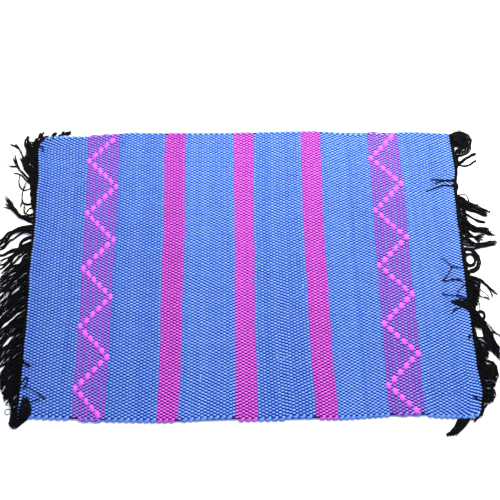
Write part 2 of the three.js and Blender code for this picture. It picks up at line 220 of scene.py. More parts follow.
# The cloth, in millimetres.
weave = {
    "leftEnd": -450,
    "rightEnd": 447,
    "halfWidth": 300,
    "middleHeight": 2.7,  # of the warps over the floor
    "warpPitch": 3.0,
    "warps": 197,
    "hump": 1.2,  # how far a weft's line rises over a warp, and drops under the next
    "humpHalfLength": 1.0,
    "yarnHalfWidth": 3.5,
    "yarnHalfHeight": 1.5,
    "edgeInset": 3.3,  # from the edge to where a turn of the weft starts
    "turnReach": 1.5,
    "turnSquareness": 0.3,  # 1 is a half circle, and 0 a square corner
    "turnHalfWidth": 3.1,
    "turnHalfHeight": 2.1,
    "turnBulge": 1.0,
    "endPicks": 17,  # the picks that take up the unevenness of a fringed end
    "coreInset": 2.0,
    "coreSideInset": 1.2,  # at the two long edges
    "coreHalfHeight": 0.6,
    "valley": 3.4,  # heights between which a weft's painted highlight goes from none to full
    "paintedHighlight": 5.4,
}


# Cotton rag yarn, strips of dyed cotton loosely twisted: matte, with soft folds along the yarn,
# fine fibres over them, and a slight change of shade from one length to the next. A given share of
# its shade can come from height instead, which paints the tops of the humps paler: a painted highlight.
def cottonRag(name, dark, light, foldWidth=1.3, foldLength=9.0, paintedHighlight=0.0, gloss=0.3):
    material = newMaterial(name)
    place = addNode(material, "ShaderNodeAttribute", {}, attribute_name="fibrePlace")
    tone = addNode(material, "ShaderNodeAttribute", {}, attribute_name="yarnTone")
    foldScale = (1 / (foldWidth * mm), 1 / (foldWidth * mm), 1 / (foldLength * mm))
    folds = addNode(
        material, "ShaderNodeMapping", {"Vector": place.outputs["Vector"], "Scale": foldScale}
    )
    foldNoise = addNode(
        material,
        "ShaderNodeTexNoise",
        {"Vector": folds.outputs["Vector"], "Scale": 1.0, "Detail": 2.0, "Roughness": 0.6},
    )
    fibreScale = (1 / (0.3 * mm), 1 / (0.3 * mm), 1 / (2.4 * mm))  # fibres 0.3 mm apart
    fibres = addNode(
        material, "ShaderNodeMapping", {"Vector": place.outputs["Vector"], "Scale": fibreScale}
    )
    fibreNoise = addNode(
        material,
        "ShaderNodeTexNoise",
        {"Vector": fibres.outputs["Vector"], "Scale": 1.0, "Detail": 3.0, "Roughness": 0.65},
    )
    shade = addNode(
        material,
        "ShaderNodeMath",
        {0: foldNoise.outputs["Fac"], 1: tone.outputs["Fac"]},
        operation="ADD",
    )
    worn = addNode(
        material,
        "ShaderNodeMapRange",
        {"Value": shade.outputs["Value"], "From Min": 0.45, "From Max": 1.55},
    )
    # Painted highlight: the colour goes paler with height, over the tops of the humps.
    where = addNode(material, "ShaderNodeTexCoord", {})
    axes = addNode(material, "ShaderNodeSeparateXYZ", {"Vector": where.outputs["Object"]})
    height = addNode(
        material,
        "ShaderNodeMapRange",
        {"Value": axes.outputs["Z"], "From Min": weave["valley"] * mm, "From Max": weave["paintedHighlight"] * mm},
    )
    share = addNode(
        material,
        "ShaderNodeMix",
        {0: paintedHighlight, 2: worn.outputs["Result"], 3: height.outputs["Result"]},
        data_type="FLOAT",
    )
    color = addNode(
        material,
        "ShaderNodeMix",
        {0: share.outputs[0], 6: linearColor(dark), 7: linearColor(light)},
        data_type="RGBA",
    )
    relief = addNode(
        material,
        "ShaderNodeMath",
        {0: fibreNoise.outputs["Fac"], 1: 0.5, 2: foldNoise.outputs["Fac"]},
        operation="MULTIPLY_ADD",
    )
    bump = addNode(
        material,
        "ShaderNodeBump",
        {"Strength": 0.6, "Distance": 0.5 * mm, "Height": relief.outputs["Value"]},
    )
    cotton = addNode(
        material,
        "ShaderNodeBsdfPrincipled",
        {
            "Base Color": color.outputs[2],
            "Normal": bump.outputs["Normal"],
            "Roughness": 0.85,
            "IOR": 1.46,
            "Specular IOR Level": gloss,
        },
    )
    addNode(material, "ShaderNodeOutputMaterial", {"Surface": cotton.outputs["BSDF"]})
    return material


# The inside of the weave, seen only between the wefts: straight warps packed side by side.
# Its colours are painted shade: dark navy or violet like wefts in shadow with their coloured bounce light, not the
# black of the warps, and painted darker in the valleys between warps than on the ridges.
def paintedShadeWarps(name, valley, ridge):
    material = newMaterial(name)
    place = addNode(material, "ShaderNodeTexCoord", {})
    warps = addNode(
        material,
        "ShaderNodeTexWave",
        {"Vector": place.outputs["Object"], "Scale": 1 / (weave["warpPitch"] * mm) / 3.18, "Distortion": 0.0},
        bands_direction="Y",
    )
    color = addNode(
        material,
        "ShaderNodeMix",
        {0: warps.outputs["Fac"], 6: linearColor(valley), 7: linearColor(ridge)},
        data_type="RGBA",
    )
    bump = addNode(
        material,
        "ShaderNodeBump",
        {"Strength": 0.8, "Distance": 0.6 * mm, "Height": warps.outputs["Fac"]},
    )
    cotton = addNode(
        material,
        "ShaderNodeBsdfPrincipled",
        {
            "Base Color": color.outputs[2],
            "Normal": bump.outputs["Normal"],
            "Roughness": 0.9,
            "IOR": 1.46,
            "Specular IOR Level": 0.2,
        },
    )
    addNode(material, "ShaderNodeOutputMaterial", {"Surface": cotton.outputs["BSDF"]})
    return material


# The stripes of weft from left to right, with their widths at the far long edge, in the middle and
# at the near one, and the picks in them that were dyed darker.
stripes = [
    {"weft": "blue", "picks": 16, "widths": (102.5, 108.2, 108.5), "dark": []},
    {"weft": "zigzag", "picks": 11, "widths": (68, 63.3, 62.5), "dark": []},
    {"weft": "blue", "picks": 16, "widths": (99.5, 101, 101), "dark": [0]},
    {"weft": "pink", "picks": 7, "widths": (44, 44, 40.5), "dark": []},
    {"weft": "blue", "picks": 18, "widths": (106.5, 105.8, 109.5), "dark": []},
    {"weft": "pink", "picks": 7, "widths": (44, 39.7, 43), "dark": []},
    {"weft": "blue", "picks": 17, "widths": (103, 106.5, 112), "dark": []},
    {"weft": "pink", "picks": 7, "widths": (43.5, 42, 43), "dark": []},
    {"weft": "blue", "picks": 18, "widths": (104.5, 106, 98.5), "dark": [10]},
    {"weft": "zigzag", "picks": 11, "widths": (65.5, 68, 67.5), "dark": []},
    {"weft": "blue", "picks": 19, "widths": (116, 112.5, 111), "dark": []},
]

# How far each edge strays outwards from a true rectangle: place along the edge, distance.
farEdge = [
    (-450, -3), (-420, 0), (-360, -1.5), (-320, 2), (-255, 7), (-180, 5.5), (-60, 4.5),
    (140, 6.5), (240, -0.5), (280, 2), (302, -0.5), (350, 2.5), (447, -2),
]  # fmt: skip
nearEdge = [
    (-450, -6), (-350, -2), (-300, 2), (-160, 5), (-40, 0), (-15, 4.5), (60, 4),
    (85, 0), (160, 3.5), (320, -3), (370, 2.5), (420, 4.5), (447, -1),
]  # fmt: skip
leftEdge = [
    (-300, -3), (-170, -4), (-60, -2.5), (-10, 0.5), (80, -2), (190, 1), (270, 6), (300, 0),
]  # fmt: skip
rightEdge = [
    (-300, -5), (-288, 0), (-250, 6), (-200, 1), (-60, -2.5), (110, -4), (170, -4), (210, 3), (300, -1),
]  # fmt: skip


def farY(x):
    return weave["halfWidth"] + strayAt(farEdge, x)


def nearY(x):
    return -weave["halfWidth"] - strayAt(nearEdge, x)


def leftX(y):
    return weave["leftEnd"] - strayAt(leftEdge, y)


def rightX(y):
    return weave["rightEnd"] + strayAt(rightEdge, y)


# A line across the rug through its places at the far edge, in the middle and at the near edge.
def lineX(places, y):
    far, middle, near = places
    along = y / weave["halfWidth"]
    return middle + (far - near) / 2 * along + ((far + near) / 2 - middle) * along**2


# How far a place in the weave has wandered from its even row.
def drift(x, y):
    slow = 0.7 * np.sin(y / 41 + x / 97 + 1.1) + 0.5 * np.sin(y / 17 - x / 53)
    return slow + 0.3 * np.sin(y / 7.3 + x / 31 + 2.0)


# One pick from the near to the far edge, as rings: two on each warp, over it or under it.
def pickRings(pick):
    places = pick["places"]
    top = farY(places[0]) - weave["edgeInset"] - 0.5
    bottom = nearY(places[2]) + weave["edgeInset"] + 0.5
    warp = np.arange(weave["warps"])
    spot = bottom + (warp + 0.5) / weave["warps"] * (top - bottom)
    spot = spot + 0.35 * np.sin(spot / 23 + places[1] / 61) + 0.25 * np.sin(warp * 1.7 + places[1] / 140)
    y = np.stack([spot - weave["humpHalfLength"], spot + weave["humpHalfLength"]], axis=1).ravel()
    x = lineX(places, y) + drift(places[1], y) + pick["endShift"](y)
    over = np.repeat(np.where((warp + pick["number"]) % 2, -1.0, 1.0), 2)
    lift = np.repeat(chance.normal(0, 0.12, len(warp)), 2) * (over > 0)
    z = weave["middleHeight"] + over * weave["hump"] + lift
    swell = np.repeat(1 + chance.normal(0, 0.05, len(warp)), 2)
    fade = np.clip(np.minimum(y - y[0], y[-1] - y) / 9, 0, 1)
    wide = weave["turnHalfWidth"] + (weave["yarnHalfWidth"] * swell - weave["turnHalfWidth"]) * fade
    high = np.full(len(y), weave["yarnHalfHeight"])
    tone = chance.uniform(0.3, 0.7) + np.repeat(chance.normal(0, 0.1, len(warp)), 2)
    if pick["dark"]:
        tone = tone * 0.2
    return {"x": x, "y": y, "z": z, "wide": wide, "high": high, "tone": tone}


# The turn of the weft from the end of one pick to the start of the next, at the far edge (1) or near (-1).
# It is nearly square, so the long edge stays almost straight.
def turnRings(last, first, edge, bulge):
    angle = np.radians([12, 33, 60, 90, 120, 147, 168])
    squareness = weave["turnSquareness"]
    across = -np.sign(np.cos(angle)) * np.abs(np.cos(angle)) ** squareness
    outwards = np.sin(angle) ** squareness
    middle, half = (last["x"] + first["x"]) / 2, (first["x"] - last["x"]) / 2
    edgeY = (farY(middle) if edge > 0 else -nearY(middle)) - weave["edgeInset"]
    count = len(angle)
    return {
        "x": middle + half * across,
        "y": edge * (edgeY + (weave["turnReach"] + bulge) * outwards),
        "z": np.full(count, weave["middleHeight"] - 0.3),
        "wide": np.full(count, weave["turnHalfWidth"]),
        "high": np.full(count, weave["turnHalfHeight"]),
        "tone": np.full(count, last["tone"] + chance.normal(0.12, 0.06)),
    }


# Weaves some picks of one yarn, there and back, and adds it to the bundle.
def weaveYarn(bundle, picks, firstEdge, bulge):
    parts = []
    edge = firstEdge
    for order, pick in enumerate(picks):
        rings = pickRings(pick)
        if edge < 0:
            rings = {key: value[::-1] for key, value in rings.items()}
        if order:
            last = {key: value[-1] for key, value in parts[-1].items()}
            first = {key: value[0] for key, value in rings.items()}
            parts.append(turnRings(last, first, -edge, bulge))
        parts.append(rings)
        edge = -edge
    whole = {key: np.concatenate([part[key] for part in parts]) for key in parts[0]}
    line = np.stack([whole["x"], whole["y"], whole["z"]], axis=1)
    bundle.add(line, whole["wide"], whole["high"], whole["tone"], upright=True)


cottonColors = {
    "blue": ("#205ed0", "#8ab2fa"),
    "pink": ("#a828b4", "#f474f2"),
    "zigzagBlue": ("#5450c8", "#a294f2"),
    "zigzagPink": ("#863ec2", "#c27cee"),
    "float": ("#b034c2", "#e05ee0"),
}
# Six tenths of each weft's shade come from height, a painted highlight on the hump tops.
cotton = {name: cottonRag(name + "CottonRag", *pair, paintedHighlight=0.6) for name, pair in cottonColors.items()}
# Painted shade between the wefts: dark weft-tinted colours for the sheet of warps, one for each kind of stripe.
core = {
    "blue": paintedShadeWarps("paintedShadeBlueWarps", "#020d4a", "#0830a4"),
    "pink": paintedShadeWarps("paintedShadePinkWarps", "#20043c", "#560c70"),
    "zigzag": paintedShadeWarps("paintedShadeVioletWarps", "#10083c", "#34208a"),
}

# How far an end of the rug pulls a place out of its line: fully in the outermost pick, then less.
def endPull(number):
    left = max(0, 1 - number / weave["endPicks"])
    right = max(0, 1 - (allPicks - 1 - number) / weave["endPicks"])
    return lambda y: right * strayAt(rightEdge, y) - left * strayAt(leftEdge, y)


zigzags = []
allPicks = sum(row["picks"] for row in stripes)
number = 0
starts = [weave["leftEnd"]] * 3
stripeLines = [starts]
for stripeOrder, stripe in enumerate(stripes):
    picks = [
        {
            "places": [s + (i + 0.5) / stripe["picks"] * w for s, w in zip(starts, stripe["widths"])],
            "number": number + i,
            "dark": i in stripe["dark"],
            "endShift": endPull(number + i),
        }
        for i in range(stripe["picks"])
    ]
    if stripe["weft"] == "zigzag":
        for weft, first, bulge in (("Pink", 0, 0.0), ("Blue", 1, weave["turnBulge"])):
            bundle = Yarns(6, 0.02)
            weaveYarn(bundle, picks[first::2], 1, bulge)
            piece = bundle.build(f"zigzag{weft}_{stripeOrder + 1}", cotton["zigzag" + weft])
        zigzags.append(picks)
    else:
        bundle = Yarns(6, 0.02)
        weaveYarn(bundle, picks, 1 if number % 2 == 0 else -1, 0.0)
        piece = bundle.build(f"stripe_{stripeOrder + 1}", cotton[stripe["weft"]])
    starts = [s + w for s, w in zip(starts, stripe["widths"])]
    stripeLines.append(starts)
    number += stripe["picks"]
print("wefts done")


# The warps inside the weave, as one thin sheet that the wefts go through, coloured with painted shade.
def buildCore():
    rows = 61
    share = np.linspace(0, 1, rows)
    columns = []
    for order, places in enumerate(stripeLines):
        bottom = nearY(places[2]) + weave["coreSideInset"]
        top = farY(places[0]) - weave["coreSideInset"]
        y = bottom + share * (top - bottom)
        x = lineX(places, y)
        if order == 0:
            x = leftX(y) + weave["coreInset"]
        if order == len(stripeLines) - 1:
            x = rightX(y) - weave["coreInset"]
        columns.append(np.stack([x, y], axis=1))
    grid = np.array(columns)
    count = len(columns) * rows
    flat = grid.reshape(-1, 2)
    low = weave["middleHeight"] - weave["coreHalfHeight"]
    high = weave["middleHeight"] + weave["coreHalfHeight"]
    points = [(x * mm, y * mm, high * mm) for x, y in flat] + [(x * mm, y * mm, low * mm) for x, y in flat]
    faces, kinds = [], []
    names = list(core)
    for i in range(len(columns) - 1):
        kind = names.index(stripes[i]["weft"])
        for j in range(rows - 1):
            a, b = i * rows + j, (i + 1) * rows + j
            faces.append((a, b, b + 1, a + 1))
            faces.append((count + a + 1, count + b + 1, count + b, count + a))
            kinds += [kind, kind]
    rim = [i * rows for i in range(len(columns))]
    rim += [(len(columns) - 1) * rows + j for j in range(1, rows)]
    rim += [i * rows + rows - 1 for i in range(len(columns) - 2, -1, -1)]
    rim += [j for j in range(rows - 2, 0, -1)]
    for a, b in zip(rim, rim[1:] + rim[:1]):
        faces.append((a, count + a, count + b, b))
        column = min(min(a, b) // rows, len(stripes) - 1)
        kinds.append(names.index(stripes[column]["weft"]))
    mesh = bpy.data.meshes.new("warps")
    mesh.from_pydata(points, [], faces)
    mesh.polygons.foreach_set("material_index", kinds)
    for name in names:
        mesh.materials.append(core[name])
    mesh.update()
    piece = bpy.data.objects.new("warps", mesh)
    scene.collection.objects.link(piece)
    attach(piece, "root")
    pieces.append(piece)
    return piece


warps = buildCore()
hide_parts("cloth")
print("warps done")

# The zigzag's floats: one lies on every second pick and each lies a step further across the rug.
floats = {
    "step": 12,
    "first": 286.4,  # the one nearest the far edge, and the pick under it
    "firstPick": 8,
    "length": 14.8,
    "halfWidth": 5.2,
    "halfHeight": 2.5,
    "middleHeight": 4.8,
    "lean": 2.6,  # how far each end is shifted along the zigzag
}


def buildFloats(picks, name):
    bundle = Yarns(8, 0.02)
    turn = len(picks) - 1

    def pickOf(step):
        along = (floats["firstPick"] - 2 * step) % (2 * turn)
        return along if along <= turn else 2 * turn - along

    count = int((floats["first"] + weave["halfWidth"]) / floats["step"]) + 1
    for step in range(count):
        places = picks[pickOf(step)]["places"]
        y = floats["first"] - step * floats["step"] + chance.normal(0, 0.5)
        x = lineX(places, y) + drift(places[1], y)
        lean = (pickOf(step - 1) - pickOf(step + 1)) / 4 * floats["lean"] + chance.normal(0, 0.4)
        t = np.array([-1, -0.93, -0.75, -0.4, 0, 0.4, 0.75, 0.93, 1])
        half = floats["length"] / 2 * (1 + chance.normal(0, 0.05))
        swell = np.clip(1 - np.abs(t) ** 3.2, 0.03, 1) ** 0.45
        line = np.stack([x + lean * t, y + half * t, floats["middleHeight"] - 2.2 * t**4], axis=1)
        size = 1 + chance.normal(0, 0.06)
        tone = chance.uniform(0.25, 0.85)
        bundle.add(line, floats["halfWidth"] * size * swell, floats["halfHeight"] * swell, tone)
    piece = bundle.build(name, cotton["float"])


for order, picks in enumerate(zigzags):
    buildFloats(picks, f"zigzagFloats_{order + 1}")
print("zigzags done")

# The fringes. Each warp end is a yarn of its own, and the yarns lie in locks on the floor.
# Places are x, y in millimetres; a root is a place along the heading, at that y.
fringe = {
    "yarnRadius": 0.75,
    "ringStep": 4.5,  # spacing of a yarn's rings
    "rootInset": 1.6,  # how deep a yarn starts in the heading
    "clothTop": 5.3,
    "edgeRamp": 3.0,  # a yarn climbs on to the cloth over this width
    "wave": 0.5,
    "wander": 1.6,
    "tone": (0.1, 1.0),
}

# The headings: twined black warps beside each fringed end. A cord's distance is that from the
# cloth's end to its middle.
headings = {
    "left": {"ends": (-303, 303), "rise": 1.5, "cords": [-0.4, 2.5], "plyRadius": 1.35, "turnRadius": 1.0, "pitch": 8.5, "lumps": []},
    "right": {
        "ends": (-300, 297),
        "rise": 1.5,
        "cords": [-0.7, 3.1],
        "plyRadius": 1.5,
        "turnRadius": 1.0,
        "pitch": 8.5,
        "lumps": [(171, 7, 2.2)],
    },
}

# Locks in groups from the far long edge to the near one. A group's locks run evenly from its first
# line to its last, each from its root through the places listed, and fray at their tips.
leftFringe = [
    {
        "roots": (270, 262), "locks": 2, "yarns": 8, "width": 5, "spread": 2,
        "first": [(-460, 281), (-463, 290), (-456, 301), (-446, 313)],
        "last": [(-459, 276), (-462, 288), (-458, 300), (-454.5, 310.5)],
    },
    {
        "roots": (281,), "yarns": 10, "width": 5, "spread": 0, "fray": 0.2,
        "first": [(-449, 290), (-442, 298), (-436, 304)],
    },
    {
        "roots": (276, 290), "locks": 3, "yarns": 7, "width": 4, "spread": 0, "fray": 0.2,
        "first": [(-451, 284), (-447, 291), (-443, 297)],
        "last": [(-449, 293), (-445, 297), (-441, 301)],
    },
    {
        "roots": (266, 196), "locks": 16, "yarns": 7, "width": 6, "spread": 2, "fray": 0.25, "lift": 6, "stray": 2.5,
        "first": [(-460, 272), (-470, 280), (-476, 287)],
        "last": [(-465, 206), (-480, 222), (-494, 247)],
    },
    {
        "roots": (252, 240), "locks": 5, "yarns": 7, "width": 5, "spread": 1, "fray": 0.2,
        "first": [(-463, 262), (-472, 274), (-475, 283), (-480, 294), (-481.5, 305)],
        "last": [(-466, 254), (-478, 266), (-486, 277), (-484, 288), (-481.5, 300)],
    },
    {
        "roots": (286, 200), "locks": 20, "yarns": 6, "width": 6, "spread": 3, "fray": 0.3, "lift": 6,
        "first": [(-458, 290), (-463, 292), (-466, 292)],
        "last": [(-467, 214), (-480, 232), (-490, 248)],
    },
    {
        "roots": (190, 192), "locks": 2, "yarns": 5, "width": 4, "spread": 1,
        "first": [(-463, 203), (-475, 223), (-485, 243), (-491, 257), (-500, 271), (-512, 279), (-523, 282)],
        "last": [(-463, 204), (-474, 224), (-484, 244), (-491, 258), (-498, 270), (-505, 279), (-512.5, 287.5)],
    },
    {
        "roots": (180, 176), "locks": 2, "yarns": 4, "width": 3, "spread": 1,
        "first": [(-466, 196), (-480, 209), (-491, 220), (-498, 231), (-503, 243), (-506, 258)],
        "last": [(-466, 194), (-480, 208), (-491, 219), (-498, 230), (-506, 242), (-514, 253.5)],
    },
    {
        "roots": (182, 168), "locks": 2, "yarns": 4, "width": 3, "spread": 1,
        "first": [(-466, 194), (-481, 208), (-492, 221), (-499, 228), (-510, 230), (-521, 233.5)],
        "last": [(-465, 186), (-478, 198), (-488, 207), (-495, 212), (-500, 214), (-505, 216)],
    },
    {
        "roots": (196, 126), "locks": 16, "yarns": 6, "width": 5, "spread": 1, "lift": 5,
        "first": [(-458, 204), (-465, 216), (-470, 230)],
        "last": [(-455, 134), (-458, 144), (-460, 158)],
    },
    {
        "roots": (181,), "yarns": 5, "width": 2.6,
        "first": [(-465, 178), (-476, 174), (-486, 179), (-491, 188), (-493, 200), (-492, 212)],
    },
    {
        "roots": (143,), "yarns": 4, "width": 2,
        "first": [(-464, 142), (-474, 142), (-480, 150), (-482, 165), (-480, 176), (-477, 188), (-477, 198)],
    },
    {"roots": (144,), "yarns": 5, "width": 2.5, "first": [(-470, 142), (-479, 146), (-482, 141), (-481, 134)]},
    {"roots": (128,), "yarns": 4, "width": 2, "first": [(-458, 133), (-465, 131), (-470, 122)]},
    {"roots": (121,), "yarns": 3, "width": 1.5, "first": [(-462, 119), (-471, 122), (-474, 131), (-474, 142)]},
    {
        "roots": (121, 101), "locks": 4, "yarns": 7, "width": 5, "spread": 1, "fray": 0.25,
        "first": [(-466, 115), (-478, 117), (-490, 129), (-500, 142), (-511, 154), (-524, 169)],
        "last": [(-466, 106), (-480, 112), (-491, 123), (-501, 134), (-509, 142), (-518, 146)],
    },
    {"roots": (108,), "yarns": 4, "width": 2.5, "first": [(-470, 108), (-484, 115), (-498, 129), (-509, 133), (-523, 137)]},
    {
        "roots": (94, 76), "locks": 5, "yarns": 9, "width": 7, "spread": 3, "lift": 6, "stray": 2.5,
        "first": [(-466, 91), (-482, 87), (-496, 83), (-506, 74), (-513, 64), (-521, 57)],
        "last": [(-464, 80), (-477, 76), (-490, 68), (-500, 57), (-508, 46), (-519, 38)],
    },
    {
        "roots": (70, 46), "locks": 6, "yarns": 8, "width": 7, "spread": 3, "fray": 0.2, "stray": 2.5,
        "first": [(-464, 66), (-474, 59), (-480, 48), (-492, 42), (-508, 37), (-521, 34)],
        "last": [(-463, 42), (-473, 32), (-483, 21), (-494, 10), (-506, -2), (-516, -12)],
    },
    {
        "roots": (40, -42), "locks": 14, "yarns": 10, "width": 8, "spread": 5, "fray": 0.3, "lift": 7, "stray": 3,
        "first": [(-462, 35), (-474, 25), (-488, 12), (-502, -2), (-517, -18)],
        "last": [(-462, -48), (-476, -62), (-490, -76), (-505, -92), (-518, -107)],
    },
    {
        "roots": (-46, -116), "locks": 15, "yarns": 8, "width": 8, "spread": 5, "fray": 0.3, "lift": 7, "stray": 3,
        "first": [(-464, -55), (-480, -69), (-497, -85), (-516, -104)],
        "last": [(-463, -124), (-478, -138), (-494, -155), (-507, -175)],
    },
    {
        "roots": (-118, -188), "locks": 15, "yarns": 8, "width": 8, "spread": 5, "fray": 0.3, "lift": 7, "stray": 3,
        "first": [(-465, -128), (-481, -142), (-494, -158), (-508, -176)],
        "last": [(-462, -197), (-474, -212), (-482, -226), (-486, -236)],
    },
    {
        "roots": (-186, -242), "locks": 13, "yarns": 8, "width": 7, "spread": 4, "fray": 0.3, "lift": 8, "stray": 2.5,
        "first": [(-462, -194), (-473, -208), (-481, -224), (-486, -238)],
        "last": [(-458, -248), (-463, -256), (-468, -263), (-471, -268)],
    },
    {
        "roots": (-205, -290), "locks": 15, "yarns": 6, "width": 6, "spread": 2, "fray": 0.2, "lift": 7,
        "first": [(-461, -215), (-467, -232), (-469, -250)],
        "last": [(-454, -296), (-453, -303), (-449, -309)],
    },
    {"roots": (-228,), "yarns": 1, "width": 1, "first": [(-470, -230), (-480, -236), (-481, -248), (-475, -252), (-470, -246), (-466, -252)]},
    {"roots": (-262,), "yarns": 1, "width": 1, "first": [(-464, -262), (-471, -264), (-473, -269), (-468, -271), (-463, -268)]},
    {"roots": (-282,), "yarns": 1, "width": 1, "first": [(-462, -279), (-469, -278), (-472, -283), (-467, -287), (-461, -285)]},
    {
        "roots": (-284, -296), "locks": 6, "yarns": 9, "width": 7, "spread": 1, "fray": 0.15, "lift": 4,
        "first": [(-457, -294), (-451, -303), (-444, -298), (-440, -284), (-437, -266), (-436, -250)],
        "last": [(-459, -302), (-449, -310), (-435, -302), (-427, -288), (-425, -270), (-431, -252)],
    },
    {
        "roots": (-188,), "yarns": 10, "width": 6, "spread": 2, "fray": 0.5,
        "first": [(-440, -190), (-434, -195), (-426, -198)],
    },
    {
        "roots": (-238,), "yarns": 3, "width": 1.5, "sway": 0.4,
        "first": [(-442, -230), (-437, -220), (-431, -221), (-433, -231), (-441, -238)],
    },
    {
        "roots": (-240,), "yarns": 3, "width": 1.5, "sway": 0.5,
        "first": [(-440, -238), (-430, -237), (-416, -244), (-402, -254), (-392, -261)],
    },
    {"start": (-426, -264), "yarns": 3, "width": 1.5, "sway": 0.5, "first": [(-420, -264), (-412, -261), (-405, -259)]},
    {"roots": (272,), "yarns": 3, "width": 2, "first": [(-446, 274), (-443.5, 267), (-445, 259)]},
    {
        "start": (-431, 288), "yarns": 22, "width": 13, "spread": 1, "lift": 4, "under": True,
        "first": [(-428, 297), (-424, 304), (-419, 309)],
    },
    {
        "start": (-418, 288), "yarns": 22, "width": 9, "spread": 1, "lift": 4, "under": True,
        "first": [(-413, 299), (-407, 304), (-398, 307), (-387, 310)],
    },
    {
        "start": (-411, 290), "yarns": 9, "width": 6, "spread": 1, "lift": 3, "under": True,
        "first": [(-409, 300), (-407, 307), (-404, 314)],
    },
    {
        "start": (-399, 290), "yarns": 9, "width": 6, "spread": 1, "lift": 3, "under": True,
        "first": [(-396, 301), (-392, 308), (-389, 314)],
    },
]  # fmt: skip
